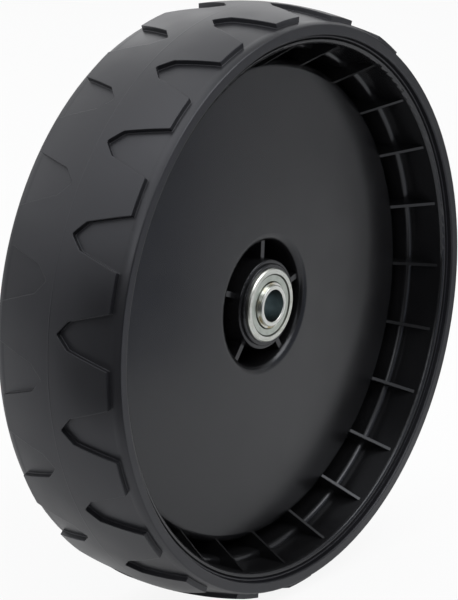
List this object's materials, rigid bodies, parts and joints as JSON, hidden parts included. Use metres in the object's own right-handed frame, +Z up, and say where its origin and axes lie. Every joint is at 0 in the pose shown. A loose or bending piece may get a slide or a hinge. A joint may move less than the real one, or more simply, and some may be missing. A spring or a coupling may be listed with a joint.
{
  "type": "lawn mower wheel",
  "caption": "Lawn mower wheel with a lugged tyre on a one-piece dished plastic rim, ribbed inside the drum, turning on shielded ball bearings with a plain axle bore.",
  "frame": {"origin": "wheel's centre: on the axle's axis, in the tyre's mid plane", "axes": "+Y along the axle's axis, with the dished face towards -Y; +Z up"},
  "size_m": [0.2782, 0.0694, 0.2782],
  "materials": {
    "rim_plastic": "satin moulded polypropylene",
    "tread_rubber": "matt moulded rubber",
    "ring_steel": "ground, satin",
    "sleeve_steel": "turned, bright zinc",
    "shield_steel": "pressed sheet, zinc",
    "spacer_steel": "drawn tube",
    "cage_steel": "pressed",
    "ball_steel": "polished"
  },
  "bodies": {
    "axle_sleeve": {"bearing_spacer": "spacer_steel", "near_inner_race": "sleeve_steel", "far_inner_race": "sleeve_steel"},
    "wheel": {"wheel_rim": "rim_plastic", "tyre": "tread_rubber", "near_outer_race": "ring_steel", "near_outer_shield": "shield_steel", "near_inner_shield": "shield_steel", "far_outer_race": "ring_steel", "far_outer_shield": "shield_steel", "far_inner_shield": "shield_steel"},
    "near_ball_set": {"near_cage": "cage_steel", "near_ball_1": "ball_steel", "near_ball_2": "ball_steel", "near_ball_3": "ball_steel", "near_ball_4": "ball_steel", "near_ball_5": "ball_steel", "near_ball_6": "ball_steel", "near_ball_7": "ball_steel", "near_ball_8": "ball_steel"},
    "far_ball_set": {"far_cage": "cage_steel", "far_ball_1": "ball_steel", "far_ball_2": "ball_steel", "far_ball_3": "ball_steel", "far_ball_4": "ball_steel", "far_ball_5": "ball_steel", "far_ball_6": "ball_steel", "far_ball_7": "ball_steel", "far_ball_8": "ball_steel"}
  },
  "joints": [
    {"name": "wheel_spin", "type": "hinge", "parent": "axle_sleeve", "child": "wheel", "pos_m": [0, 0, 0], "axis": [0, 1, 0], "continuous": true},
    {"name": "near_cage_spin", "type": "hinge", "parent": "axle_sleeve", "child": "near_ball_set", "pos_m": [0, 0, 0], "axis": [0, 1, 0], "continuous": true},
    {"name": "far_cage_spin", "type": "hinge", "parent": "axle_sleeve", "child": "far_ball_set", "pos_m": [0, 0, 0], "axis": [0, 1, 0], "continuous": true}
  ],
  "couplings": [
    {"joint": "near_cage_spin", "follows": "wheel_spin", "ratio": 0.62},
    {"joint": "far_cage_spin", "follows": "wheel_spin", "ratio": 0.62}
  ]
}
